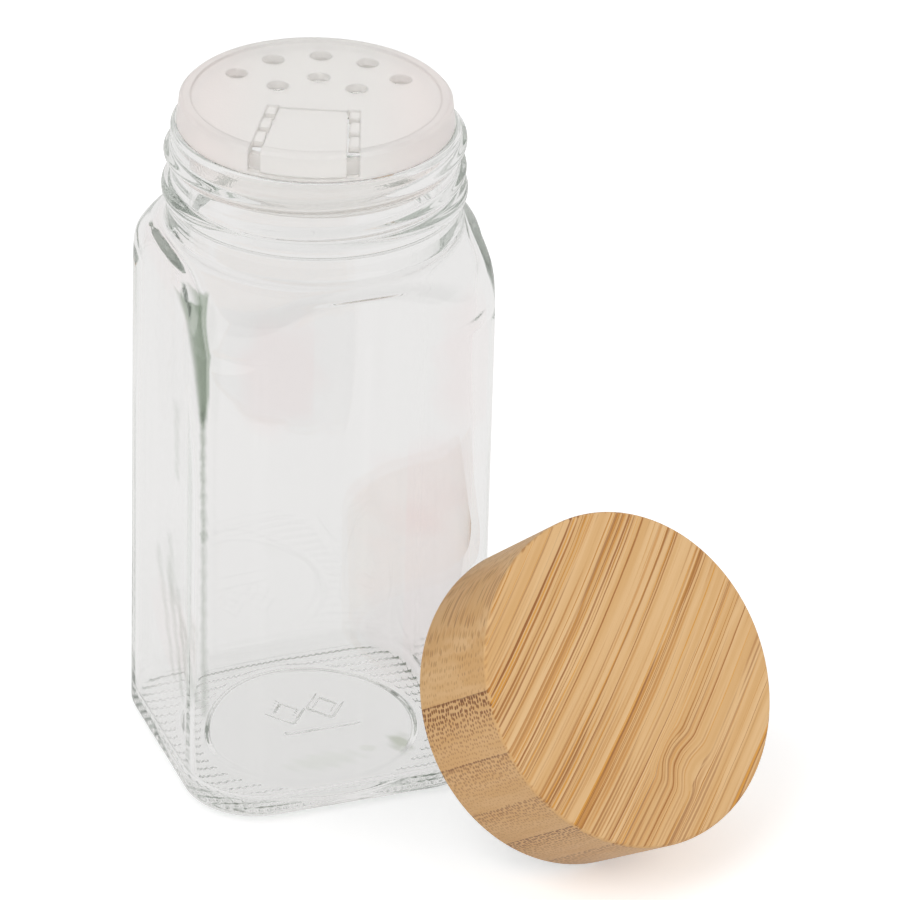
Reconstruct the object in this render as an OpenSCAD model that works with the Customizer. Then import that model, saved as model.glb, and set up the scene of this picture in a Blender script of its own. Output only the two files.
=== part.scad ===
// Square glass spice jar with a press-in shaker top and a bamboo screw cap.
// The jar stands on Z = 0 with its axis on the Z axis and its flat sides square to X and Y.
// The cap has been taken off and leans, open side back, against the front of the jar.

/* [Glass jar] */
// Width of the body across its flat sides
body_w = 44; // [40:0.5:56]
// Radius of the four upright corners
corner_r = 10.5; // [8:0.5:12]
// Thickness of the side walls and the shoulder
wall = 2.2; // [1.6:0.1:2.8]
// Thickness of the floor
floor_t = 4.5; // [3:0.5:7]
// Height of the glass, from the base to the rim
jar_h = 97.8; // [80:0.2:130]
// Radius of the arc that carries the corners into the shoulder
shoulder_r = 11; // [8:0.5:13]
// Width of the bevel round the foot
heel_w = 1.4; // [0.6:0.1:2.5]
// Height of the bevel round the foot
heel_h = 2.2; // [1:0.1:4]
// Radius of the hollow under the base, where it meets the foot
punt_r = 15; // [8:0.5:17]
// Depth of the hollow under the base
punt_h = 1.2; // [0.4:0.1:2]

/* [Neck] */
// Height of the neck, from the shoulder to the rim
neck_h = 14.8; // [13.5:0.1:20]
// Radius of the foot of the neck
neck_foot_r = 20.5; // [20.1:0.1:20.9]
// Radius of the neck between the threads
neck_r = 19.7; // [19.2:0.1:20]
// Radius of the bore
bore_r = 17.3; // [15:0.1:17.8]
// Radius of the carrying ring below the threads
bead_r = 21.1; // [20.9:0.1:21.6]
// Rounding of the carrying ring
bead_t = 1.6; // [1.2:0.1:1.8]
// Drop of the carrying ring's middle below the rim
bead_drop = 9.7; // [9.2:0.1:11]
// Bevel on the rim's outer edge
rim_bevel = 0.6; // [0.2:0.1:0.6]
// Height of the screw thread over the neck, for which the cap leaves room
thread_h = 1; // [0.8:0.05:1.2]

/* [Shaker top] */
// Radius of the side wall where it sits on the glass
shaker_foot_r = 19.1; // [18.8:0.05:19.1]
// Radius of the side wall at its top
shaker_top_r = 18.75; // [18.4:0.05:18.8]
// Height of the raised edge above the rim of the glass
shaker_h = 3.8; // [3.2:0.1:5]
// Depth of the plate below the raised edge
plate_drop = 0.3; // [0.2:0.1:1]
// Thickness of the plate
plate_t = 1.2; // [0.9:0.1:1.4]
// Width of the raised edge
edge_w = 1.6; // [1.4:0.1:2.4]
// Bevel on the raised edge's outer corner
edge_bevel = 0.5; // [0.2:0.1:0.6]
// Thickness of the side wall and the plug
skin = 1.1; // [0.8:0.1:1.3]
// Length of the plug below the rim of the glass
plug_l = 6; // [3:0.5:8]
// Bevel that leads the plug into the bore
plug_lead = 0.5; // [0.2:0.1:0.6]
// Radial gap between the plug and the bore
plug_gap = 0.1; // [0.05:0.01:0.3]
// Direction of the pour flap about the jar's axis
flap_az = -114.5; // [-180:0.5:180]

/* [Shaker holes] */
// Radius of one hole
hole_r = 1.5; // [1:0.1:2]
// Radius of the outer ring of holes
outer_ring_r = 13; // [11.5:0.1:14]
// Holes on the outer ring
outer_holes = 5; // [1:1:5]
// Radius of the inner ring of holes
inner_ring_r = 6.2; // [5:0.1:8]
// Holes on the inner ring
inner_holes = 3; // [1:1:3]
// Angle between neighbours on the outer ring
outer_step = 30; // [24:1:32]
// Turn of the holes from straight behind the flap
hole_turn = 2.5; // [-6:0.5:6]

/* [Pour flap] */
// Distance of the hinge line from the jar's axis
hinge_d = 4; // [3:0.1:6]
// Half width of the flap at its hinge
flap_half = 4.7; // [3:0.1:6]
// Angle by which each side of the flap opens outwards
flap_flare = 4.8; // [0:0.2:6]
// Width of the slots beside the flap
slot_w = 1.7; // [1:0.1:2]
// Half width of the groove under the hinge
groove_half = 0.75; // [0.5:0.05:1]
// Thickness of the thin web that bends
web_t = 0.4; // [0.3:0.05:0.6]
// Gap between the flap and the pieces that it swings past
flap_gap = 0.15; // [0.1:0.01:0.25]
// Height of the band of side wall that runs on below the flap
sill_h = 0.5; // [0.3:0.1:0.8]
// Length of one locating tooth along a slot
tooth_l = 3.1; // [1:0.1:3.4]
// Distance of the second tooth's middle from the hinge line
tooth_first = 4; // [3.8:0.1:4.5]
// Distance between the teeth
tooth_step = 4.3; // [4.1:0.1:4.6]
// Teeth along each slot, the first beside the hinge line
teeth = 3; // [1:1:3]
// Drop of the teeth below the face of the plate
tooth_drop = 0.3; // [0:0.1:0.6]

/* [Bamboo cap] */
// Thickness of the bamboo round the liner, at the open side
cap_wall = 1; // [0.8:0.1:3]
// Widening of the cap's radius from its open side to its top
cap_flare = 0.9; // [0:0.1:1.5]
// Height of the cap
cap_h = 18.5; // [17.5:0.1:26]
// Thickness of bamboo over the liner
cap_top_t = 4.7; // [3:0.1:5]
// Rounding of the top edge
cap_edge = 0.5; // [0.2:0.1:1.5]
// Bevel on the edge round the open side
cap_lip = 0.3; // [0.1:0.1:0.6]
// Radial gap between the screw thread and the liner
thread_gap = 0.25; // [0.1:0.05:0.5]
// Thickness of the plastic liner's wall
liner_wall = 0.7; // [0.6:0.05:1.2]
// Thickness of the liner's top
liner_top_t = 1.2; // [0.8:0.1:1.6]
// Drop of the liner's edge inside the bamboo's edge
liner_inset = 0.3; // [0.1:0.1:0.8]
// Glue gap between the liner and the bamboo
glue_gap = 0.05; // [0.02:0.01:0.1]
// Thickness of the foam seal
seal_t = 1; // [0.6:0.1:1.5]
// Radial gap between the seal and the liner's bore
seal_gap = 0.3; // [0.1:0.1:0.8]

/* [Leaning cap] */
// Angle of the cap's axis above the floor
lean = 37.2; // [32:0.1:42]
// Direction of the cap's axis about the jar's axis
cap_az = -69.5; // [-76:0.5:-62]
// Sideways place of the cap's open side, from the jar's axis
cap_x = 26.1; // [22:0.1:29]
// Gap between the cap's edge and the glass that it leans on
lean_gap = 0.3; // [0.1:0.05:1]

/* [Hidden] */
$fn = 96;
over = 1;

glass = [0.86, 0.9, 0.88, 0.4];
clear_plastic = [0.93, 0.93, 0.92, 0.85];
bamboo = [0.86, 0.68, 0.44];
white_plastic = [0.95, 0.95, 0.94];
foam = [0.9, 0.9, 0.88];

// Reach of the corners from the axis, and the shoulder's arc that starts just beyond it
corner_reach = (body_w / 2 - corner_r) * sqrt(2) + corner_r;
arc_clear = 0.05;
arc_x = corner_reach + arc_clear - shoulder_r;
neck_z = jar_h - neck_h;
shoulder_z = neck_z - sqrt(pow(shoulder_r, 2) - pow(neck_foot_r - arc_x, 2));
bead_z = jar_h - bead_drop;

// Levels and radii of the shaker top, measured from the rim that it sits on
plate_top = shaker_h - plate_drop;
plate_under = plate_top - plate_t;
plug_r = bore_r - plug_gap;
wall_slope = (shaker_foot_r - shaker_top_r) / (shaker_h - edge_bevel);
wall_in_r = shaker_foot_r - skin;
wall_top_in_r = max(wall_in_r - plate_under * wall_slope, plug_r + flap_gap);
ring_in_r = shaker_top_r - edge_w;
web_z = plate_top - web_t / 2;
flap_foot = sill_h + flap_gap;

// Radii of the cap, out from the screw thread, and levels inside it, measured from its open side
liner_bore_r = neck_r + thread_h + thread_gap;
liner_r = liner_bore_r + liner_wall;
cap_r = liner_r + glue_gap + cap_wall;
cap_top_r = cap_r + cap_flare;
cap_bore_h = cap_h - cap_top_t;
liner_under = cap_bore_h - glue_gap - liner_top_t;

// Place of the leaning cap: its lower edge is on the floor and its upper edge is beside the glass
lip_r = cap_r - cap_lip;
cap_z = max(cap_r * cos(lean) - cap_lip * sin(lean), lip_r * cos(lean));
axis_back = [cos(lean) * cos(cap_az), cos(lean) * sin(cap_az), sin(lean)];
lean_up = [-sin(lean) * cos(cap_az), -sin(lean) * sin(cap_az), cos(lean)];
lean_side = [-sin(cap_az), cos(cap_az), 0];
rim_steps = [-60 : 1 : 60];

// Point of the cap's outer edge at an angle from its highest point, from the middle of the open side
function rim_point(a) = cap_lip * axis_back + cap_r * (cos(a) * lean_up + sin(a) * lean_side);
// Depth in Y of the front of the glass at a place across it
function front_y(x, reach) =
    abs(x) <= body_w / 2 - corner_r ? -reach
    : abs(x) >= body_w / 2 + lean_gap ? 0
    : -(reach - corner_r - lean_gap)
      - sqrt(max(0, pow(corner_r + lean_gap, 2) - pow(abs(x) - (body_w / 2 - corner_r), 2)));
cap_y = min([for (a = rim_steps)
    let (p = rim_point(a), x = cap_x + p[0])
    if (abs(x) < body_w / 2 + lean_gap) front_y(x, body_w / 2 + lean_gap) - p[1]]);

// Square with round corners, seen from above
module plan(w, r) {
    square([w, w - 2 * r], center = true);
    square([w - 2 * r, w], center = true);
    for (x = [-1, 1], y = [-1, 1])
        translate([x * (w / 2 - r), y * (w / 2 - r)]) circle(r);
}

// Upright body whose corners curve in along the shoulder's arc, without its middle
module body_form(w, r, arc_r, low) {
    intersection() {
        translate([0, 0, low]) linear_extrude(shoulder_z + shoulder_r - low) plan(w, r);
        rotate_extrude() {
            translate([0, low]) square([corner_reach + over, shoulder_z - low]);
            translate([arc_x, shoulder_z]) circle(arc_r);
        }
    }
}

// Everything outside the bevel round the foot
module heel_cut() {
    half = body_w / 2;
    for (turn = [0 : 90 : 270])
        rotate([90, 0, turn])
            translate([0, 0, -body_w]) linear_extrude(2 * body_w)
                polygon([[half - heel_w, 0], [half + over, -over], [half + over, heel_h + over * heel_h / heel_w]]);
    rotate_extrude()
        polygon([[corner_reach - heel_w, 0], [corner_reach + over, -over],
                 [corner_reach + over, heel_h + over * heel_h / heel_w]]);
}

module glass_jar() {
    color(glass) difference() {
        union() {
            body_form(body_w, corner_r, shoulder_r, 0);
            rotate_extrude() {
                polygon([[0, shoulder_z], [neck_foot_r, shoulder_z], [neck_foot_r, bead_z], [neck_r, bead_z],
                         [neck_r, jar_h - rim_bevel], [neck_r - rim_bevel, jar_h], [0, jar_h]]);
                translate([bead_r - bead_t, bead_z]) circle(bead_t);
            }
        }
        body_form(body_w - 2 * wall, corner_r - wall, shoulder_r - wall, floor_t);
        translate([0, 0, floor_t]) cylinder(r = bore_r, h = jar_h);
        translate([0, 0, -over])
            cylinder(r1 = punt_r + over, r2 = punt_r - punt_h, h = punt_h + over);
        heel_cut();
    }
}

// Half width of the flap at a distance from the jar's axis
function flap_side(d) = flap_half + (d - hinge_d) * tan(flap_flare);

// Plan of the flap, widened by a margin on each side, from a distance out past the side wall
module flap_plan(from, margin) {
    to = shaker_foot_r + over;
    polygon([[from, -flap_side(from) - margin], [to, -flap_side(to) - margin],
             [to, flap_side(to) + margin], [from, flap_side(from) + margin]]);
}

// Plate, raised edge and side wall, without the plug
module shaker_shell(foot) {
    foot_r = shaker_foot_r - foot * wall_slope;
    rotate_extrude()
        polygon([[0, plate_under], [wall_top_in_r, plate_under],
                 [max(wall_in_r - foot * wall_slope, plug_r + flap_gap), foot], [foot_r, foot],
                 [shaker_top_r, shaker_h - edge_bevel], [shaker_top_r - edge_bevel, shaker_h],
                 [ring_in_r, shaker_h], [ring_in_r, plate_top], [0, plate_top]]);
}

module plug() {
    rotate_extrude()
        polygon([[plug_r - skin, plate_under + over / 4], [plug_r - skin, -plug_l], [plug_r - plug_lead, -plug_l],
                 [plug_r, -plug_l + plug_lead], [plug_r, plate_under + over / 4]]);
}

module hole_ring(r, count, step) {
    for (i = [0 : count - 1])
        rotate(180 + hole_turn + (i - (count - 1) / 2) * step)
            translate([r, 0, plate_under - over]) cylinder(r = hole_r, h = plate_t + 2 * over);
}

// Opening for the flap: through the plate, and through the side wall above the sill
module flap_window() {
    from = hinge_d - groove_half;
    translate([0, 0, plate_under - flap_gap]) linear_extrude(shaker_h) flap_plan(from, slot_w);
    intersection() {
        translate([0, 0, sill_h]) linear_extrude(shaker_h) flap_plan(from, slot_w);
        difference() {
            cylinder(r = shaker_foot_r + over, h = shaker_h + over);
            translate([0, 0, -over]) cylinder(r = plug_r + flap_gap / 2, h = shaker_h + 3 * over);
        }
    }
}

// Teeth that stand across the slots and keep the closed flap in line
module flap_teeth() {
    reach = slot_w - 2 * flap_gap;
    tall = plate_t - tooth_drop;
    for (side = [-1, 1], i = [0 : teeth - 1]) {
        d = hinge_d + tooth_first + (i - 1) * tooth_step;
        translate([d, side * (flap_side(d) + slot_w - reach / 2 + over / 4), plate_under + tall / 2])
            cube([tooth_l, reach + over / 2, tall], center = true);
    }
}

module shaker_insert() {
    color(clear_plastic) translate([0, 0, jar_h]) rotate(flap_az) {
        difference() {
            union() {
                shaker_shell(0);
                plug();
            }
            hole_ring(outer_ring_r, outer_holes, outer_step);
            hole_ring(inner_ring_r, inner_holes, 2 * outer_step);
            flap_window();
        }
        flap_teeth();
        // Thin lip on the plate's side of the hinge line
        translate([hinge_d - groove_half - over, -flap_half, plate_top - web_t])
            cube([groove_half + over - web_t / 2 - flap_gap, 2 * flap_half, web_t]);
    }
}

module pour_flap() {
    color(clear_plastic) translate([0, 0, jar_h]) rotate(flap_az) {
        intersection() {
            shaker_shell(flap_foot);
            linear_extrude(shaker_h + over) flap_plan(hinge_d + groove_half, 0);
        }
        translate([hinge_d, -flap_half, plate_top - web_t])
            cube([groove_half + over, 2 * flap_half, web_t]);
    }
}

// Puts a piece of the cap, drawn with its open side on Z = 0, where the leaning cap lies
module lean_cap() {
    translate([cap_x, cap_y, cap_z]) rotate([0, 90 - lean, cap_az]) children();
}

module bamboo_cap() {
    color(bamboo) lean_cap() difference() {
        union() {
            rotate_extrude()
                polygon([[0, 0], [cap_r - cap_lip, 0], [cap_r, cap_lip], [cap_top_r, cap_h - cap_edge],
                         for (a = [15 : 15 : 75])
                             [cap_top_r - cap_edge + cap_edge * cos(a), cap_h - cap_edge + cap_edge * sin(a)],
                         [cap_top_r - cap_edge, cap_h], [0, cap_h]]);
        }
        translate([0, 0, -over]) cylinder(r = liner_r + glue_gap, h = cap_bore_h + over);
    }
}

module cap_liner() {
    color(white_plastic) lean_cap() difference() {
        translate([0, 0, liner_inset]) cylinder(r = liner_r, h = cap_bore_h - glue_gap - liner_inset);
        cylinder(r = liner_bore_r, h = liner_under);
    }
}

module cap_seal() {
    color(foam) lean_cap()
        translate([0, 0, liner_under - seal_t]) cylinder(r = liner_bore_r - seal_gap, h = seal_t);
}

glass_jar();
shaker_insert();
pour_flap();
bamboo_cap();
cap_liner();
cap_seal();
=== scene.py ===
import math

import bpy
import numpy as np
from mathutils import Matrix, Vector

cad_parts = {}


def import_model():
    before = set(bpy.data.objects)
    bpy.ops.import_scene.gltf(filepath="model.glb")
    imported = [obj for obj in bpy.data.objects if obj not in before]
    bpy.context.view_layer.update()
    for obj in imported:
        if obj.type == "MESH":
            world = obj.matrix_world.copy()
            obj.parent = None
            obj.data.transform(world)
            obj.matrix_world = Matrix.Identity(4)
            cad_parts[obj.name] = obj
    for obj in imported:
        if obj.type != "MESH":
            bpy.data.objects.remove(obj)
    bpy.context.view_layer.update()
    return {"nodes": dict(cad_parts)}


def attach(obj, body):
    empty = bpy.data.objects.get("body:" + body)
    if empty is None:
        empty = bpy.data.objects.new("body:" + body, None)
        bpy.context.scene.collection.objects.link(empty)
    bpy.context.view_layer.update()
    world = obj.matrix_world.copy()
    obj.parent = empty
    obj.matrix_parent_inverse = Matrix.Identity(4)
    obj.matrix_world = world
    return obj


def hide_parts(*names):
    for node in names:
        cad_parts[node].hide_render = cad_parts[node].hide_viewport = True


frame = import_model()

MM = 0.001

# Body of the glass jar, in millimetres
BODY_HALF = 22.0
CORNER = 10.5
WALL = 2.2
FLOOR = 2.3
HEEL = 2.2
BOWL = 2.0

# Shoulder: an arc turned about the axis, which meets the square body between two heights
SHOULDER_R = 11.0
SHOULDER_X = 15.8
SHOULDER_Z = 73.05
SHOULDER_OPEN = 0.6
SHOULDER_FROM, SHOULDER_TO = 66, 84
SHOULDER_BLEND = 1.4

# The square body flares out of the arc's way near the top of the shoulder
FLARE_FROM, FLARE = 81, 1.5

# The same shoulder seen from inside
VAULT_TO = 83
VAULT_BLEND = 1.8
BORE = 17.3
BORE_BLEND = 1.5
INNER_CORNER, CORNER_GROWTH = 8.7, 0.9

# Neck, carrying ring and rim
NECK_FOOT = 20.45
NECK_ROOT = 19.7
NECK_BLEND = 1.6
RING_FROM, BORE_FROM = 78, 76
BEAD_Z = 88.1
BEAD_R = 21.1
BEAD_HALF = 1.35
BEAD_BLEND = 0.7
RIM_Z = 97.75
RIM_ROUND, LIP_ROUND = 0.6, 0.4

# Screw thread of the neck: the angles are degrees round the axis
THREAD_H = 0.95
THREAD_PITCH = 4.23
THREAD_HALF = 1.3
THREAD_Z = 94.5
THREAD_TURNED = 19.42
THREAD_TOP, THREAD_LENGTH = 42.0, 545.0
THREAD_FADES = (26, 40)

# Underside of the base: hollow middle, stipple outside it and a plain mark
PUNT_R, PUNT_DEPTH, PUNT_DOME = 15.9, 0.9, 0.2
PUNT_STEP = (-1.1, 0.2)
FOOT_LIFT = 0.35
STIPPLE_R, STIPPLE_STEP = 17.2, 2.1
MARK_AT, MARK_H = (1.6, -1.6), 0.35
MARK_LINE = (0.55, 0.25)
BAR_HALF = 5.0
LOZENGES, LOZENGE_UP = (-3.6, 2.4), 5.6
LOZENGE_HALF, LOZENGE_SQUASH, LOZENGE_SLOPE = 2.3, 0.8, 0.75

# Unevenness of the inner walls, and the heights over which it fades at floor and rim
WAVE, FINE_WAVE = 0.024, 0.002
WAVE_LOW, WAVE_HIGH = (6, 14), (97, 80)

# Place of the leaning cap and the screw ridge in its liner
CAP_AT = (26.1, -31.47, 17.9)
CAP_LEAN = 37.2
CAP_AZ = -69.5
LINER_BORE = 20.95
RIDGE_START, RIDGE_TURNS, RIDGE_H = 3.0, 1.4, 0.75
RIDGE_HALF, RIDGE_SINK, RIDGE_ROOT = 0.75, 0.1, 0.25
RIDGE_ROWS, RIDGE_POINTS = 260, 9

# Vertices round the glass, and the rows of them on each stretch of it
TURN = 640
DISC_ROWS, STEP_ROWS, FOOT_ROWS, HEEL_ROWS = 46, 14, 60, 12
BODY_ROWS, SHOULDER_ROWS, NECK_ROWS = 120, 60, 82
RIM_ROWS, LIP_ROWS, BORE_ROWS = 7, 6, 16
VAULT_ROWS, INSIDE_ROWS, BOWL_ROWS, FLOOR_ROWS = 50, 50, 22, 16
ANGLES = np.linspace(0, 2 * math.pi, TURN, endpoint=False)


def smin(a, b, k):
    """Smaller of two values, rounded off where they differ by less than k."""
    h = np.maximum(k - np.abs(a - b), 0) / k
    return np.minimum(a, b) - h * h * k / 4


def smax(a, b, k):
    """Larger of two values, rounded off in the same way."""
    return -smin(-a, -b, k)


def smooth(lo, hi, x):
    """0 at lo, 1 at hi and smooth between them, whichever is the larger."""
    t = np.clip((x - lo) / (hi - lo), 0, 1)
    return t * t * (3 - 2 * t)


def quarter(count):
    """Even steps over a quarter turn, in radians."""
    return np.radians(np.linspace(0, 90, count))


def new_object(name, verts, faces, mat, body):
    mesh = bpy.data.meshes.new(name)
    mesh.from_pydata(verts, [], faces)
    mesh.validate()
    obj = bpy.data.objects.new(name, mesh)
    bpy.context.scene.collection.objects.link(obj)
    mesh.shade_smooth()
    mesh.materials.append(mat)
    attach(obj, body)
    return obj


def skin(rows, start, end):
    """Vertices and faces of closed rings joined in order, with a point to close each end."""
    n = len(rows[0])
    verts = [tuple(p) for row in rows for p in row]
    faces = []
    for i in range(len(rows) - 1):
        a, b = i * n, (i + 1) * n
        faces += [(a + j, a + (j + 1) % n, b + (j + 1) % n, b + j) for j in range(n)]
    verts.append(tuple(start))
    faces += [((j + 1) % n, j, len(verts) - 1) for j in range(n)]
    verts.append(tuple(end))
    last = (len(rows) - 1) * n
    faces += [(last + j, last + (j + 1) % n, len(verts) - 1) for j in range(n)]
    return verts, faces


# Shader trees


class Graph:
    """Short names for the nodes and links of one shader tree."""

    def __init__(self, tree):
        self.nodes = tree.nodes
        self.links = tree.links
        self.shader = tree.nodes.get("Principled BSDF")
        self.output = tree.nodes.get("Material Output")

    def put(self, value, socket):
        """Links another node's output to a socket, or sets a plain value on it."""
        if isinstance(value, bpy.types.NodeSocket):
            self.links.new(value, socket)
        elif socket.type == "RGBA":
            socket.default_value = (*value, 1)
        else:
            socket.default_value = value

    def fill(self, node, inputs):
        for name, value in inputs.items():
            self.put(value, node.inputs[name])

    def node(self, kind, inputs=None, **settings):
        made = self.nodes.new("ShaderNode" + kind)
        for name, value in settings.items():
            setattr(made, name, value)
        self.fill(made, inputs or {})
        return made

    def math(self, how, *values):
        return self.node("Math", dict(enumerate(values)), operation=how).outputs[0]

    def times(self, value, share):
        return self.math("MULTIPLY", value, share)

    def plus(self, *values):
        total = values[0]
        for value in values[1:]:
            total = self.math("ADD", total, value)
        return total

    def rest(self, value):
        """What the value leaves of 1."""
        return self.math("SUBTRACT", 1.0, value)

    def dot(self, vector, along):
        made = self.node("VectorMath", {0: vector, 1: along}, operation="DOT_PRODUCT")
        return made.outputs["Value"]

    def vector(self, x, y, z):
        return self.node("CombineXYZ", {0: x, 1: y, 2: z}).outputs[0]

    def step(self, lo, hi, value):
        """0 at lo, 1 at hi and smooth between them."""
        ends = {"Value": value, "From Min": lo, "From Max": hi}
        return self.node("MapRange", ends, interpolation_type="SMOOTHSTEP").outputs["Result"]

    def slope(self, lo, hi, start, end, value):
        """A straight line from start at lo to end at hi, and level outside them."""
        ends = {"Value": value, "From Min": lo, "From Max": hi, "To Min": start, "To Max": end}
        return self.node("MapRange", ends).outputs["Result"]

    def noise(self, where, scales, detail):
        """Noise at a place whose three parts are each scaled by their own factor."""
        place = self.vector(*[self.times(part, scale) for part, scale in zip(where, scales)])
        return self.grain(place, 1, detail)

    def grain(self, place, scale, detail):
        made = self.node("TexNoise", {"Vector": place, "Scale": scale, "Detail": detail})
        return made.outputs["Fac"]

    def mix(self, share, first, second):
        made = self.node("Mix", {"Factor": share, "A": first, "B": second}, data_type="RGBA")
        return made.outputs["Result"]

    def ramp(self, value, stops, how="LINEAR"):
        """Colour ramp through stops, each a place and a colour."""
        made = self.node("ValToRGB", {"Fac": value})
        ramp = made.color_ramp
        ramp.interpolation = how
        while len(ramp.elements) > 1:
            ramp.elements.remove(ramp.elements[-1])
        ramp.elements[0].position = stops[0][0]
        ramp.elements[0].color = (*stops[0][1], 1)
        for place, color in stops[1:]:
            ramp.elements.new(place).color = (*color, 1)
        return made.outputs["Color"]

    def bump(self, strength, distance, height):
        return self.node("Bump", {"Strength": strength, "Distance": distance, "Height": height})

    def either_shader(self, share, first, second):
        return self.node("MixShader", {0: share, 1: first, 2: second}).outputs[0]

    def seen_through(self):
        """Whether a ray was sent on by a mirror-like surface or clear glass, and whether it
        comes straight from the camera."""
        path = self.node("LightPath").outputs
        sent_on = self.math("MAXIMUM", path["Is Glossy Ray"], path["Is Transmission Ray"])
        return sent_on, path["Is Camera Ray"]


def grey(level):
    return (level, level, level)


def material(name):
    mat = bpy.data.materials.new(name)
    mat.use_nodes = True
    return mat, Graph(mat.node_tree)


# Clear glass and plastics

# Vertex colour of the glass: its plain tint with painted light, painted reflections and painted shade
TINT_AND_PAINTED_LIGHT = "glass_tint_and_painted_light"
GLASS_IOR, PLASTIC_IOR = 1.5, 1.48

# What the glass takes from the light inside it, and from the light that casts its shadow
GLASS_SHADE, GLASS_DENSITY = (0.52, 0.605, 0.53), 6
GLASS_SHADOW = (0.93, 0.95, 0.94)

# The shaker top is matt, with a warmer blush towards its sides, above a clearer plug. Its places
# and sizes are in metres, as the shader nodes measure them
PLUG_TOP, PLUG_FADE = 0.0972, 0.0008
PLUG_ROUGH, TOP_ROUGH = 0.06, 0.32
PLUG_CLEAR, TOP_CLEAR = 1.0, 0.45
TOP_MIDDLE, TOP_SIDES = (0.94, 0.925, 0.905), (0.965, 0.92, 0.9)
TOP_ASIDE, TOP_BLUSH = (0.94, -0.34, 0), (0.006, 0.015)
TOP_EDGE = 0.00045
TOP_SHADOW = (0.93, 0.92, 0.91)

# Grain of the plastics: scale of its noise, and strength and height in metres of its bump
TOP_GRAIN, TOP_BUMP = 2200, (0.12, 0.0002)
LINER_GRAIN, LINER_BUMP, LINER_DARK = 1500, (0.2, 0.0001), 0.94


def clear_on_shadow(G, tint):
    """Lets lamp light through, so that clear pieces throw a pale shadow."""
    shadow_ray = G.node("LightPath").outputs["Is Shadow Ray"]
    clear = G.node("BsdfTransparent", {"Color": tint}).outputs[0]
    G.put(G.either_shader(shadow_ray, G.shader.outputs[0], clear), G.output.inputs["Surface"])


def glass_material():
    mat, G = material("clear_glass")
    # The glass colour carries painted light, painted reflections and painted shade
    tint = G.node("VertexColor", layer_name=TINT_AND_PAINTED_LIGHT).outputs["Color"]
    G.fill(G.shader, {"Base Color": tint, "Transmission Weight": 1, "Roughness": 0, "IOR": GLASS_IOR})
    absorb = G.node("VolumeAbsorption", {"Color": GLASS_SHADE, "Density": GLASS_DENSITY})
    G.put(absorb.outputs["Volume"], G.output.inputs["Volume"])
    clear_on_shadow(G, GLASS_SHADOW)
    return mat


def frosted_material():
    mat, G = material("frosted_plastic")
    place = G.node("TexCoord").outputs["Object"]
    height = G.node("SeparateXYZ", {0: place}).outputs["Z"]
    aside = G.math("ABSOLUTE", G.dot(place, TOP_ASIDE))
    fade_from, fade_to = PLUG_TOP, PLUG_TOP + PLUG_FADE
    soft_edge = G.node("Bevel", {"Radius": TOP_EDGE}, samples=6).outputs["Normal"]
    bump = G.bump(*TOP_BUMP, G.grain(place, TOP_GRAIN, 3))
    G.put(soft_edge, bump.inputs["Normal"])
    G.fill(G.shader, {
        "Base Color": G.mix(G.step(*TOP_BLUSH, aside), TOP_MIDDLE, TOP_SIDES),
        "Roughness": G.slope(fade_from, fade_to, PLUG_ROUGH, TOP_ROUGH, height),
        "Transmission Weight": G.slope(fade_from, fade_to, PLUG_CLEAR, TOP_CLEAR, height),
        "IOR": PLASTIC_IOR,
        "Normal": bump.outputs["Normal"],
    })
    clear_on_shadow(G, TOP_SHADOW)
    return mat


def plastic_material(name, color, rough):
    mat, G = material(name)
    grain = G.grain(G.node("TexCoord").outputs["Object"], LINER_GRAIN, 4)
    darker = tuple(c * LINER_DARK for c in color)
    G.fill(G.shader, {
        "Base Color": G.ramp(grain, ((0, darker), (1, color))),
        "Roughness": rough,
        "Normal": G.bump(*LINER_BUMP, grain).outputs["Normal"],
    })
    return mat


# Bamboo. Places on it are in millimetres from the middle of the cap's open end: along the grain,
# over the strips and deep into the cap

# Edges of the strips, and how strongly the fibres of each one show
STRIPS = (-25.6, -18.9, -12.0, -5.0, 1.5, 8.2, 14.9, 21.5, 28.0)
STRIP_DARK = (0.45, 1.0, 0.6, 0.62, 0.8, 0.6, 0.5, 0.6)
STRIP_LEAN, STRIP_SHIFT = 0.015, -0.67
STRIP_EDGE = 0.0008
GRAIN_TURN = 128.6

# How far the fibres bow, drift and ripple, and where they swerve round a knot
BOW_MIDDLE, BOW = 4.0, 0.0016
DRIFT, RIPPLE = 0.28, 0.08
KNOT_OVER = (7.5, 10.0, 14.0, 17.0)
KNOT_ALONG = (-10.5, -6.5, -5.5, -1.0)
KNOT_PUSH, KNOT_RETURN = 1.3, -0.7

# Fibre bundles: how many stand in a millimetre and how unevenly, how much their lines slant and
# wander, and the strength and height in metres of their bump
BUNDLES_OVER, BUNDLES_DEEP, BUNDLE_CHANCE = 1.9, 1.6, 0.6
BUNDLE_SLANT, BUNDLE_WANDER = 0.01, 0.4
BUNDLE_BUMP = (0.35, 0.00005)

FLESH_PALE, FLESH_TAN, FLESH_END = (0.77, 0.51, 0.26), (0.62, 0.34, 0.115), (0.64, 0.37, 0.15)
LINE_TAN, LINE_BROWN = (0.56, 0.24, 0.045), (0.30, 0.11, 0.025)
DOT_TAN, DOT_BROWN = (0.46, 0.20, 0.06), (0.16, 0.05, 0.012)
VESSEL_BROWN, VESSEL_TAN = (0.34, 0.13, 0.03), (0.66, 0.30, 0.04)
SEAM_BROWN = (0.2, 0.08, 0.03)


def cap_directions():
    """The cap's axis, its grain and the direction across its strips, in the shared frame."""
    lean, az = math.radians(CAP_LEAN), math.radians(CAP_AZ)
    axis = Vector((math.cos(lean) * math.cos(az), math.cos(lean) * math.sin(az), math.sin(lean)))
    down = Vector((math.sin(lean) * math.cos(az), math.sin(lean) * math.sin(az), -math.cos(lean)))
    side = Vector((-math.sin(az), math.cos(az), 0))
    turn = math.radians(GRAIN_TURN)
    grain = down * math.cos(turn) + side * math.sin(turn)
    across = down * math.sin(turn) - side * math.cos(turn)
    return axis, grain, across


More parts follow.
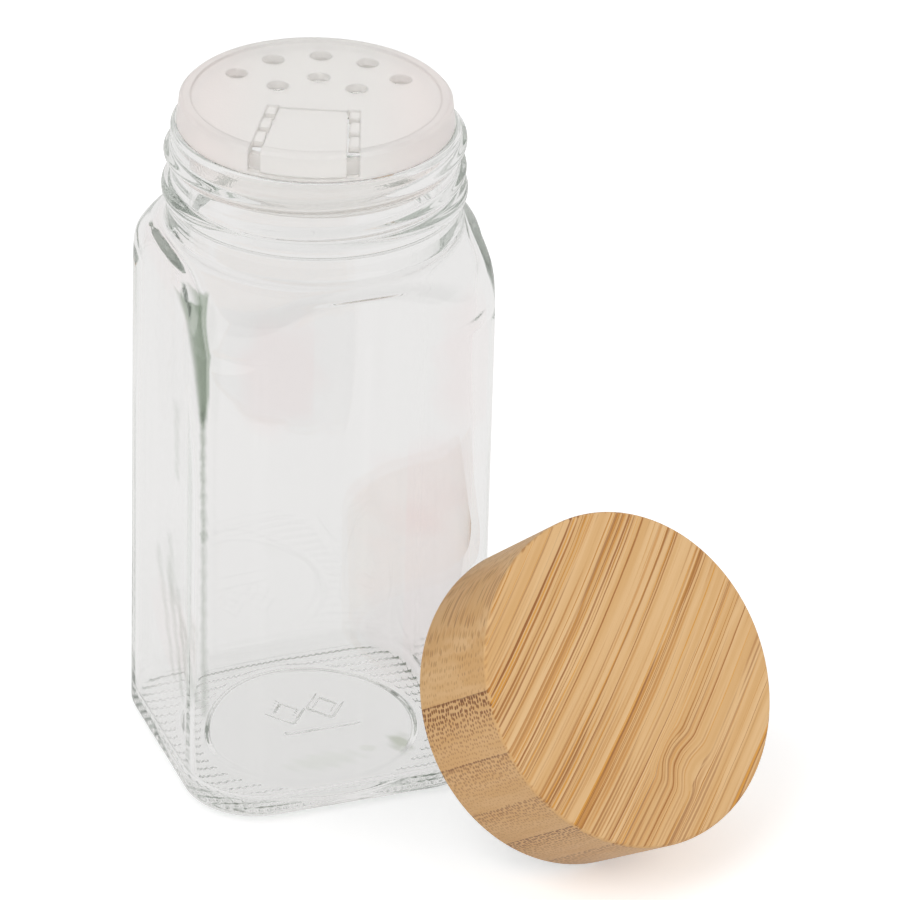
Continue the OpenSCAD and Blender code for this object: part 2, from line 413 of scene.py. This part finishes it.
def strip_profile(G, over, bow, deep):
    """How far each point is through its strip, and how strongly the strip's fibres show."""
    span = STRIPS[-1] - STRIPS[0]
    slant = G.plus(G.times(deep, STRIP_LEAN), STRIP_SHIFT)
    level = G.math("DIVIDE", G.plus(over, bow, slant, -STRIPS[0]), span)
    saw = []
    shade = []
    for low, high, dark in zip(STRIPS, STRIPS[1:], STRIP_DARK):
        start, end = (low - STRIPS[0]) / span, (high - STRIPS[0]) / span
        saw += [(start, grey(0.0)), (end - STRIP_EDGE, grey(1.0))]
        shade.append((start, grey(dark)))
    return G.ramp(level, saw), G.ramp(level, shade, "CONSTANT")


def fibre_place(G, along, over, bow, deep):
    """Place across the fibres, once they have drifted, rippled and gone round the knot."""
    drift = G.noise((along, over, deep), (0.07, 0.1, 0.1), 1.0)
    ripple = G.noise((along, over, deep), (0.3, 0.55, 0.4), 2.0)
    drifted = G.times(G.plus(drift, -0.5), DRIFT)
    rippled = G.times(G.plus(ripple, -0.5), RIPPLE)
    low, low_full, high_full, high = KNOT_OVER
    near_knot = G.times(G.step(low, low_full, over), G.step(high, high_full, over))
    out, out_full, back, back_full = KNOT_ALONG
    swerve = G.plus(
        G.step(out, out_full, along), G.times(G.step(back, back_full, along), KNOT_RETURN)
    )
    return G.plus(over, bow, drifted, rippled, G.times(G.times(near_knot, swerve), KNOT_PUSH))


def bamboo_material():
    mat, G = material("bamboo")
    coords = G.node("TexCoord").outputs
    axis, grain, across = cap_directions()
    start = Vector(CAP_AT)

    def place(direction):
        measured = G.times(G.dot(coords["Object"], direction), 1 / MM)
        return G.math("SUBTRACT", measured, start.dot(direction))

    along, over, deep = place(grain), place(across), place(axis)
    middle = G.math("SUBTRACT", along, BOW_MIDDLE)
    bow = G.times(G.math("MULTIPLY", middle, middle), BOW)
    across_now = fibre_place(G, along, over, bow, deep)

    # Each strip is dense at its skin side and pale at its inner side
    through, strength = strip_profile(G, over, bow, deep)
    dense = G.math("POWER", G.rest(through), 1.3)

    # Fibre bundles: dots across the grain, lines along it
    dive = G.noise((along, over, 3.0), (0.05, 0.9, 1), 1.0)
    wander = G.times(G.plus(dive, -0.5), BUNDLE_WANDER)
    deep_now = G.plus(deep, G.times(along, BUNDLE_SLANT), wander)
    spot = G.vector(G.times(across_now, BUNDLES_OVER), G.times(deep_now, BUNDLES_DEEP), 0.0)
    cells = G.node(
        "TexVoronoi", {"Vector": spot, "Scale": 1, "Randomness": BUNDLE_CHANCE}, voronoi_dimensions="2D"
    )
    reach = G.plus(G.times(dense, 0.17), 0.24)
    bundle = G.rest(G.step(G.plus(reach, -0.13), G.plus(reach, 0.1), cells.outputs["Distance"]))
    chance = G.node("SeparateColor", {0: cells.outputs["Color"]}).outputs[0]

    # 1 on end grain, 0 where the surface runs along the fibres
    end = G.step(0.3, 0.75, G.math("ABSOLUTE", G.dot(coords["Normal"], grain)))

    band = G.step(0.32, 0.68, G.noise((across_now, along, deep), (0.8, 0.012, 0.1), 2.0))
    fine = G.noise((across_now, along, deep), (5.0, 0.12, 2.0), 3.0)
    flesh = G.mix(G.plus(G.times(band, 0.55), G.times(fine, 0.35)), FLESH_PALE, FLESH_TAN)
    flesh = G.mix(G.times(end, 0.6), flesh, FLESH_END)
    line = G.mix(chance, LINE_TAN, LINE_BROWN)
    dot = G.mix(G.times(dense, strength), DOT_TAN, DOT_BROWN)
    fade = G.times(G.plus(G.times(dense, 0.55), 0.42), strength)
    share = G.math("MINIMUM", G.plus(fade, G.times(chance, 0.25)), 1.0)
    color = G.mix(G.times(bundle, share), flesh, G.mix(end, line, dot))

    # Thin straight vessels on the top, close together towards the dense side
    thin = G.noise((across_now, along, deep), (3.4, 0.012, 0.4), 2.0)
    edge = G.plus(0.64, G.times(dense, -0.11))
    thin = G.step(edge, G.plus(edge, 0.035), thin)
    hue = G.noise((across_now, 7.0, deep), (1.9, 1, 0.3), 1.0)
    hue = G.mix(G.step(0.4, 0.6, hue), VESSEL_BROWN, VESSEL_TAN)
    top = G.step(0.6, 0.9, G.dot(coords["Normal"], axis))
    color = G.mix(G.times(G.times(thin, top), 0.9), color, hue)
    seam = G.times(G.rest(G.step(0.0, 0.035, through)), G.plus(G.times(end, 0.55), 0.2))
    color = G.mix(G.times(seam, strength), color, SEAM_BROWN)

    relief = G.plus(G.times(bundle, -0.6), G.times(fine, 0.5))
    G.fill(G.shader, {
        "Base Color": color,
        "Roughness": G.plus(G.times(fine, 0.15), 0.42),
        "Normal": G.bump(*BUNDLE_BUMP, relief).outputs["Normal"],
    })
    return mat


GLASS = glass_material()
FROSTED = frosted_material()
BAMBOO = bamboo_material()
LINER = plastic_material("liner_plastic", (0.86, 0.86, 0.85), 0.35)
FOAM = plastic_material("seal_foam", (0.82, 0.82, 0.8), 0.7)


# Glass jar


def square_round(angle, half, corner):
    """Distance from the axis to a square with round corners, in each direction."""
    c, s = np.abs(np.cos(angle)), np.abs(np.sin(angle))
    big, small = np.maximum(c, s), np.minimum(c, s)
    inner = half - corner
    flat = half / big
    along = (c + s) * inner
    arc = along + np.sqrt(np.maximum(along**2 - 2 * inner**2 + corner**2, 0))
    return np.where(half * small / big <= inner, flat, arc)


def thread(angle, z):
    """Height of the screw thread over the neck, one lap after another."""
    height = np.zeros_like(angle)
    for lap in (0, -360, -720):
        turned = (np.degrees(angle) + THREAD_TURNED - THREAD_TOP) % 360 + lap
        back = -turned
        centre = THREAD_Z + THREAD_PITCH * (turned + THREAD_TOP + 90) / 360
        fade = smooth(0, THREAD_FADES[0], back) * smooth(0, THREAD_FADES[1], THREAD_LENGTH - back)
        across = np.clip(1 - np.abs(z - centre) / THREAD_HALF, 0, 1)
        height = np.maximum(height, fade * across * across * (3 - 2 * across))
    return THREAD_H * height


def shoulder_arc(z, reach):
    """Radius of the turned shoulder, which keeps opening out below its widest height."""
    over = max(z - SHOULDER_Z, 0)
    under = max(SHOULDER_Z - z, 0)
    return SHOULDER_X + math.sqrt(max(reach**2 - over**2, 0)) + under * SHOULDER_OPEN


def ring_radius(z):
    """Radius of the round outer form at a height: shoulder, neck and carrying ring."""
    arc = shoulder_arc(z, SHOULDER_R)
    if z <= RING_FROM:
        return arc
    if z > SHOULDER_Z + SHOULDER_R - 0.5:
        arc = 0.0
    neck = NECK_FOOT + (NECK_ROOT - NECK_FOOT) * smooth(BEAD_Z - 0.6, BEAD_Z + 1.2, z)
    swell = math.sqrt(max(1 - ((z - BEAD_Z) / BEAD_HALF) ** 2, 0))
    bead = NECK_ROOT + (BEAD_R - NECK_ROOT) * swell
    return float(smax(smax(arc, neck, NECK_BLEND), bead, BEAD_BLEND))


def outer_row(z):
    """Radius of the outside in each direction, above the heel."""
    ring = ring_radius(z)
    if z > SHOULDER_TO:
        return ring + thread(ANGLES, z)
    body = square_round(ANGLES, BODY_HALF, CORNER)
    if z < SHOULDER_FROM:
        return body
    return smin(body + max(z - FLARE_FROM, 0) * FLARE, ring, SHOULDER_BLEND)


def wave(angle, z):
    """Soft unevenness of pressed and blown glass, drawn out along the jar."""
    x, y = np.cos(angle), np.sin(angle)
    total = np.sin(3.1 * x + 0.05 * z + 0.7) + np.sin(2.3 * y - 0.07 * z + 2.1)
    total += 0.6 * np.sin(5.2 * x - 4.1 * y + 0.09 * z + 4.4)
    fine = np.sin(17 * angle + 0.03 * z) + 0.7 * np.sin(29 * angle + 1.3 - 0.04 * z)
    return WAVE * total + FINE_WAVE * fine


def inner_corner(z):
    """Radius of the cavity's corners, which are thick below the shoulder."""
    return INNER_CORNER + CORNER_GROWTH * smooth(50, SHOULDER_FROM, z)


def inner_row(z):
    """Radius of the cavity in each direction, above its rounded floor."""
    body = square_round(ANGLES, BODY_HALF - WALL, inner_corner(z))
    reach = SHOULDER_R - WALL
    ring = shoulder_arc(z, reach)
    if z > SHOULDER_Z + reach - 0.3:
        ring = 0.0
    if z > BORE_FROM:
        ring = float(smax(ring, BORE, BORE_BLEND))
    if z < SHOULDER_FROM:
        radius = body
    elif z > VAULT_TO:
        radius = ring
    else:
        radius = smin(body, ring, VAULT_BLEND)
    loose = smooth(*WAVE_HIGH, z) * smooth(*WAVE_LOW, z)
    return radius + wave(ANGLES, z) * loose


def ring_points(radius, height):
    x = radius * np.cos(ANGLES) * MM
    y = radius * np.sin(ANGLES) * MM
    z = (height + 0 * ANGLES) * MM
    return np.stack([x, y, z], axis=1)


def base_height(radius):
    """Underside of the base: hollow middle inside a bearing ring."""
    lift = smooth(PUNT_R + PUNT_STEP[1], PUNT_R + PUNT_STEP[0], radius)
    return FOOT_LIFT + (PUNT_DEPTH + PUNT_DOME * (1 - (radius / PUNT_R) ** 2)) * lift


def stipple(x, y):
    """Fine bumps that the glass stands on, in the corners outside the bearing ring."""
    u, v = (x + y) / STIPPLE_STEP, (x - y) / STIPPLE_STEP
    bump = smooth(0.25, 0.85, np.cos(math.pi * u) * np.cos(math.pi * v))
    bump += smooth(0.25, 0.85, np.sin(math.pi * u) * np.sin(math.pi * v))
    return FOOT_LIFT * bump * smooth(STIPPLE_R - 0.2, STIPPLE_R + 0.3, np.hypot(x, y))


def mark(x, y):
    """Plain mould mark: two lozenges over a bar."""
    along, aside = x - MARK_AT[0], y - MARK_AT[1]
    near = np.hypot(np.maximum(np.abs(along) - BAR_HALF, 0), aside)
    for place in LOZENGES:
        out = np.abs(along - place) + LOZENGE_SQUASH * np.abs(aside - LOZENGE_UP)
        near = np.minimum(near, np.abs(out - LOZENGE_HALF) * LOZENGE_SLOPE)
    return MARK_H * smooth(*MARK_LINE, near)


def base_row(radius):
    x, y = radius * np.cos(ANGLES), radius * np.sin(ANGLES)
    height = base_height(radius) - stipple(x, y) - mark(x, y)
    return np.stack([x * MM, y * MM, height * MM], axis=1)


# Tint of the glass, with painted light, painted reflections and painted shade on it. Places on its
# walls are in millimetres: round the wall from the middle of the front left corner, and up from the
# table

# Painted dark reflections, drawn as ragged streaks: start, end, half width at each and how dark
DARK_REFLECTION_STREAKS = (
    ((-5.6, 63.5), (-5.2, 44.0), 1.0, 0.8, 0.55),
    ((-5.2, 44.0), (-4.6, 16.0), 0.9, 1.1, 0.35),
    ((-14.9, 60.0), (-14.6, 50.0), 2.4, 1.8, 0.3),
    ((-17.5, 38.0), (-16.0, 30.0), 1.8, 3.4, 0.3),
    ((-22.5, 33.0), (-15.5, 17.0), 2.4, 1.4, 0.28),
    ((-18.0, 33.0), (-11.5, 16.0), 2.2, 1.4, 0.3),
    ((-14.0, 31.0), (-8.5, 16.5), 1.8, 1.2, 0.3),
    ((-10.5, 27.0), (-6.4, 17.0), 1.5, 1.0, 0.3),
)
# Green of the painted dark reflections, in the streaks and in the wedge
REFLECTION_GREEN = np.array((0.10, 0.18, 0.08))

# Painted dark reflection in a wedge below the shoulder: its left and right edges, each as places round
# the wall and their heights, and how dark it is inside, at its pale side and along its rim
WEDGE_LEFT = ((-6.2, -7.0, -9.2, -12.4, -19.0), (60.5, 63.0, 70.0, 75.6, 78.4))
WEDGE_RIGHT = ((-5.2, -4.5, -4.6, -7.0), (60.5, 66.0, 72.0, 79.0))
WEDGE_FOOT, WEDGE_TOP, WEDGE_SLOPE = 60.5, 78.2, 0.09
WEDGE_DARK, WEDGE_PALE, WEDGE_RIM_DARK = 0.8, 0.22, 0.85

# Painted light: soft upright bands of the front wall, painted lighter than the plain tint: middle and
# half width
PAINTED_LIGHT_BANDS = ((5.9, 0.8), (22.4, 0.7), (37.5, 0.9))
PAINTED_LIGHT_BANDS_TO = 74
PLAIN = 0.982

# Painted pink reflections in soft patches: middle round the wall and up, half width and half height
PINK_REFLECTIONS = (
    (9.0, 71.0, 8.5, 10.0),
    (29.0, 50.0, 10.0, 9.0),
    (30.0, 34.0, 9.5, 18.0),
    (-22.0, 80.0, 10.0, 4.5),
    (36.0, 68.0, 5.0, 14.0),
    (-17.0, 24.0, 10.0, 8.0),
)
REFLECTION_PINK = np.array((1.0, 0.957, 0.957))

# Painted shade under the base, in soft patches: middle, half width, half depth and colour
PAINTED_SHADE_UNDER = (
    ((-1.0, -10.5), 7.5, 3.0, (0.88, 0.91, 0.86)),
    ((11.0, -8.8), 2.2, 3.2, (0.4, 0.45, 0.33)),
    ((6.0, -9.0), 2.0, 1.2, (0.85, 0.88, 0.82)),
)
UNDER_TO = 2.0


def streak(around, up, low, high, wide, narrow):
    """How much of a tapering, ragged streak of painted dark reflection covers each place."""
    along = np.array(high) - np.array(low)
    length = np.hypot(*along)
    t = np.clip(((around - low[0]) * along[0] + (up - low[1]) * along[1]) / length**2, 0, 1)
    aside = np.hypot(around - low[0] - t * along[0], up - low[1] - t * along[1])
    aside = aside + 0.22 * np.sin(2.1 * up + 1.3 * around) + 0.13 * np.sin(5.3 * up - 2.2 * around)
    half = wide + (narrow - wide) * t
    return smooth(half, 0, aside)


def wedge(around, up):
    """How much of the wedge of painted dark reflection covers each place: most along its straight right
    edge.
    """
    left = np.interp(up, WEDGE_LEFT[1], WEDGE_LEFT[0])
    right = np.interp(up, WEDGE_RIGHT[1], WEDGE_RIGHT[0])
    top = WEDGE_TOP + (around + 18.8) * WEDGE_SLOPE + 0.06 * np.sin(3.1 * around)
    t = np.clip((around - left) / (right - left), 0, 1)
    inside = smooth(0, 0.3, t) * smooth(right + 0.25, right - 0.1, around)
    inside = inside * smooth(top + 0.15, top - 0.15, up) * smooth(WEDGE_FOOT, WEDGE_FOOT + 2.5, up)
    shade = inside * (WEDGE_PALE + (1 - WEDGE_PALE) * smooth(0.02, 0.55, t))
    rim = smooth(0.5, 0.1, np.abs(around - right + 0.2))
    rim = rim * smooth(top + 0.2, top - 0.2, up) * smooth(62, 66, up)
    return np.maximum(shade * WEDGE_DARK, rim * WEDGE_RIM_DARK)


def glass_tint_and_painted_light(points):
    """Colour of each vertex of the glass, from its place in millimetres: a plain tint with painted
    light, painted reflections and painted shade.
    """
    x, y, z = points[:, 0], points[:, 1], points[:, 2]
    around = x - y
    near = x + y < 0
    outside = np.hypot(x, y) > BODY_HALF - 1.0
    outside = outside | (np.maximum(np.abs(x), np.abs(y)) > BODY_HALF - 0.6)
    tint = np.full((len(points), 3), PLAIN)

    def shade(cover, color):
        return 1 - cover[:, None] * (1 - np.array(color))

    # Painted light in soft upright bands on the front wall
    for middle, half in PAINTED_LIGHT_BANDS:
        cover = smooth(half, half * 0.3, np.abs(around - middle)) * near * outside * (z < PAINTED_LIGHT_BANDS_TO)
        tint += (cover * (1 - PLAIN))[:, None]
    # Painted dark reflection in the wedge below the shoulder
    tint *= shade(wedge(around, z) * near * outside, REFLECTION_GREEN)
    # Painted dark reflections, in streaks on the front walls
    for low, high, wide, narrow, depth in DARK_REFLECTION_STREAKS:
        cover = streak(around, z, low, high, wide, narrow) * near * outside * depth
        tint *= shade(cover, REFLECTION_GREEN)
    # Painted pink reflections in soft patches on the front walls
    for at, height, wide, tall in PINK_REFLECTIONS:
        far = np.hypot((around - at) / wide, (z - height) / tall)
        cover = smooth(1.0, 0.6, far + 0.1 * np.sin(0.9 * z + 0.7 * around)) * near * outside
        tint *= shade(cover, REFLECTION_PINK)
    # Painted shade in soft patches under the base
    for at, wide, deep, color in PAINTED_SHADE_UNDER:
        far = np.hypot((x - at[0]) / wide, (y - at[1]) / deep)
        cover = smooth(1.0, 0.3, far + 0.12 * np.sin(2.3 * x + 1.7 * y)) * (z < UNDER_TO)
        tint *= shade(cover, color)
    return np.clip(tint, 0, 1)


def base_rows():
    """Rows of the underside, from the middle out to the heel."""
    disc, step = PUNT_R - 1.4, PUNT_R + 0.4
    edge = square_round(ANGLES, BODY_HALF - HEEL, CORNER - HEEL)
    rows = [base_row(disc * t) for t in np.linspace(0.01, 1, DISC_ROWS)]
    rows += [base_row(r) for r in np.linspace(PUNT_R - 1.2, step, STEP_ROWS)]
    rows += [base_row(step + (edge - step) * t) for t in np.linspace(0.02, 1, FOOT_ROWS)]
    return rows


def outer_rows():
    """Rows of the outside, from the heel up to the neck."""
    rows = []
    for a in quarter(HEEL_ROWS)[1:]:
        inset = HEEL * (1 - math.sin(a))
        radius = square_round(ANGLES, BODY_HALF - inset, CORNER - inset)
        rows.append(ring_points(radius, FOOT_LIFT + (HEEL - FOOT_LIFT) * (1 - math.cos(a))))
    heights = list(np.linspace(HEEL + 0.4, SHOULDER_FROM, BODY_ROWS))
    heights += list(np.linspace(SHOULDER_FROM + 0.4, SHOULDER_TO, SHOULDER_ROWS))
    heights += list(np.linspace(SHOULDER_TO + 0.15, RIM_Z - RIM_ROUND, NECK_ROWS))
    return rows + [ring_points(outer_row(z), z) for z in heights]


def rim_rows():
    """Rows over the rounded rim, from the outside to the bore."""
    rows = []
    for a in quarter(RIM_ROWS)[1:]:
        radius = NECK_ROOT - RIM_ROUND + RIM_ROUND * math.cos(a)
        rows.append(ring_points(radius, RIM_Z - RIM_ROUND + RIM_ROUND * math.sin(a)))
    for a in quarter(LIP_ROWS):
        radius = BORE + LIP_ROUND - LIP_ROUND * math.sin(a)
        rows.append(ring_points(radius, RIM_Z - LIP_ROUND + LIP_ROUND * math.cos(a)))
    return rows


def inner_rows():
    """Rows of the cavity, from the bore down to the middle of its floor."""
    depths = list(np.linspace(RIM_Z - 2 * LIP_ROUND, VAULT_TO, BORE_ROWS))
    depths += list(np.linspace(VAULT_TO - 0.4, SHOULDER_FROM, VAULT_ROWS))
    depths += list(np.linspace(SHOULDER_FROM - 1, FLOOR + BOWL + 0.4, INSIDE_ROWS))
    rows = [ring_points(inner_row(z), z) for z in depths]
    half = BODY_HALF - WALL
    for a in quarter(BOWL_ROWS):
        inset = BOWL * (1 - math.cos(a))
        radius = square_round(ANGLES, half - inset, inner_corner(0) - inset * 0.5)
        rows.append(ring_points(radius, FLOOR + BOWL - BOWL * math.sin(a)))
    last = square_round(ANGLES, half - BOWL, inner_corner(0) - BOWL * 0.5)
    return rows + [ring_points(last * t, FLOOR) for t in np.linspace(0.94, 0.04, FLOOR_ROWS)]


def glass_jar():
    rows = base_rows() + outer_rows() + rim_rows() + inner_rows()
    verts, faces = skin(rows, (0, 0, base_height(0) * MM), (0, 0, FLOOR * MM))
    jar = new_object("jar_glass", verts, faces, GLASS, "jar")
    # Vertex colours: the glass tint with its painted light, painted reflections and painted shade
    colors = np.ones((len(verts), 4))
    colors[:, :3] = glass_tint_and_painted_light(np.array(verts) / MM)
    layer = jar.data.color_attributes.new(TINT_AND_PAINTED_LIGHT, "FLOAT_COLOR", "POINT")
    layer.data.foreach_set("color", colors.ravel())
    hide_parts("glass_jar")


def liner_thread():
    """Rounded screw ridge on the inside of the cap's liner."""
    axis, grain, across = cap_directions()
    start = Vector(CAP_AT)
    rows = []
    for t in [i / (RIDGE_ROWS - 1) for i in range(RIDGE_ROWS)]:
        turn = 2 * math.pi * RIDGE_TURNS * t
        swell = float(smooth(0, 0.06, t) * smooth(1, 0.94, t))
        out = grain * math.cos(turn) + across * math.sin(turn)
        middle = RIDGE_START + THREAD_PITCH * RIDGE_TURNS * t
        row = []
        for part in [math.pi * j / (RIDGE_POINTS - 1) for j in range(RIDGE_POINTS)]:
            sink = RIDGE_SINK + RIDGE_H * math.sin(part)
            radius = LINER_BORE + RIDGE_SINK - sink * swell
            height = middle - RIDGE_HALF * math.cos(part) * (0.3 + 0.7 * swell)
            row.append((start + out * radius + axis * height) * MM)
        row.append((start + out * (LINER_BORE + RIDGE_ROOT) + axis * middle) * MM)
        rows.append(np.array(row))
    verts, faces = skin(rows, rows[0].mean(axis=0), rows[-1].mean(axis=0))
    new_object("liner_thread", verts, faces, LINER, "cap")


# Floor, world, lamps and camera, with places and sizes in metres except where a comment says so

# The floor as the camera sees it, as the glass shows it and as it lights the object
FLOOR_SEEN, FLOOR_SEEN_GLOW = grey(0.9), 0.36
FLOOR_GLASS, FLOOR_GLASS_HUE, FLOOR_GLASS_GLOW = grey(0.25), (1, 0.985, 0.975), 0.635
FLOOR_LIT = grey(0.8)
FLOOR_HALF = 3.0
FLOOR_DROP = 0.0001

# The room that the glass shows, from the camera's side to behind the object
ROOM_DARK_AT, ROOM_DARK = 0.24, (0.12, 0.13, 0.11)
ROOM_PALE_AT, ROOM_PALE = 0.5, (0.845, 0.832, 0.825)
SOFT_LIGHT = 0.64

# Square lamps: name, place and power
LAMP_AIM, LAMP_SIZE = (0, 0, 0.04), 0.6
LAMPS = (
    ("top_left", (-0.5, -0.35, 0.7), 3.0),
    ("front_right", (0.55, -0.6, 0.5), 1.8),
)

# The camera fitted to the photograph: its place, lens and sensor are in millimetres
CAMERA_AT = (-279.9, -793.9, 514.6)
CAMERA_RIGHT = (0.939672, -0.341145, 0.025233)
CAMERA_AHEAD = (0.309775, 0.817332, -0.485807)
LENS, SENSOR = 274.57, 36
CLIP = (0.05, 20)

# Light crosses the many walls of the glass before it leaves it
ALL_BOUNCES, GLASS_BOUNCES = 128, 96


def glowing_diffuse(G, color, glow_color, strength):
    """Matt white that also gives off a little light, and so keeps soft shadows."""
    matt = G.node("BsdfDiffuse", {"Color": color})
    glow = G.node("Emission", {"Color": glow_color, "Strength": strength})
    return G.node("AddShader", {0: matt.outputs[0], 1: glow.outputs[0]}).outputs[0]


def floor():
    mat, G = material("floor_white")
    sent_on, camera_ray = G.seen_through()
    seen = glowing_diffuse(G, FLOOR_SEEN, grey(1), FLOOR_SEEN_GLOW)
    in_glass = glowing_diffuse(G, FLOOR_GLASS, FLOOR_GLASS_HUE, FLOOR_GLASS_GLOW)
    lit = G.node("BsdfDiffuse", {"Color": FLOOR_LIT}).outputs[0]
    inside = G.either_shader(sent_on, lit, in_glass)
    G.put(G.either_shader(camera_ray, inside, seen), G.output.inputs["Surface"])
    mesh = bpy.data.meshes.new("floor")
    s = FLOOR_HALF
    mesh.from_pydata([(-s, -s, 0), (s, -s, 0), (s, s, 0), (-s, s, 0)], [], [(0, 1, 2, 3)])
    obj = bpy.data.objects.new("floor", mesh)
    bpy.context.scene.collection.objects.link(obj)
    mesh.materials.append(mat)
    obj.location.z = -FLOOR_DROP


def world():
    """White behind the object, and for the glass a room that is darker on the camera's side."""
    studio = bpy.data.worlds.new("studio")
    bpy.context.scene.world = studio
    studio.use_nodes = True
    G = Graph(studio.node_tree)
    G.nodes.clear()
    outward = G.node("TexCoord").outputs["Generated"]
    depth = G.slope(-1, 1, 0, 1, G.node("SeparateXYZ", {0: outward}).outputs["Y"])
    shade = G.ramp(depth, ((ROOM_DARK_AT, ROOM_DARK), (ROOM_PALE_AT, ROOM_PALE)))
    room = G.node("Background", {"Color": shade, "Strength": 1}).outputs[0]
    soft = G.node("Background", {"Color": grey(1), "Strength": SOFT_LIGHT}).outputs[0]
    white = G.node("Background", {"Color": grey(1), "Strength": 1}).outputs[0]
    sent_on, camera_ray = G.seen_through()
    inside = G.either_shader(sent_on, soft, room)
    G.node("OutputWorld", {"Surface": G.either_shader(camera_ray, inside, white)})


def softbox(name, at, power):
    light = bpy.data.lights.new(name, "AREA")
    light.shape = "RECTANGLE"
    light.size = LAMP_SIZE
    light.size_y = LAMP_SIZE
    light.energy = power
    obj = bpy.data.objects.new(name, light)
    bpy.context.scene.collection.objects.link(obj)
    obj.location = at
    obj.rotation_euler = (Vector(LAMP_AIM) - Vector(at)).to_track_quat("-Z", "Y").to_euler()
    obj.visible_glossy = False
    obj.visible_transmission = False


def camera():
    right = Vector(CAMERA_RIGHT).normalized()
    ahead = Vector(CAMERA_AHEAD).normalized()
    up = right.cross(ahead)
    lens = bpy.data.cameras.new("camera")
    lens.sensor_width = SENSOR
    lens.lens = LENS
    lens.clip_start, lens.clip_end = CLIP
    obj = bpy.data.objects.new("camera", lens)
    bpy.context.scene.collection.objects.link(obj)
    turn = Matrix((right, up, -ahead)).transposed()
    obj.matrix_world = Matrix.Translation(Vector(CAMERA_AT) * MM) @ turn.to_4x4()
    bpy.context.scene.camera = obj


glass_jar()
for node, mat in (
    ("shaker_insert", FROSTED),
    ("pour_flap", FROSTED),
    ("bamboo_cap", BAMBOO),
    ("cap_liner", LINER),
    ("cap_seal", FOAM),
):
    mesh = frame["nodes"][node].data
    mesh.materials.clear()
    mesh.materials.append(mat)
liner_thread()

floor()
world()
for name, at, power in LAMPS:
    softbox(name, at, power)
camera()
bpy.context.scene.cycles.max_bounces = ALL_BOUNCES
bpy.context.scene.cycles.transmission_bounces = GLASS_BOUNCES
bpy.context.scene.cycles.glossy_bounces = GLASS_BOUNCES
bpy.context.scene.view_settings.view_transform = "Standard"
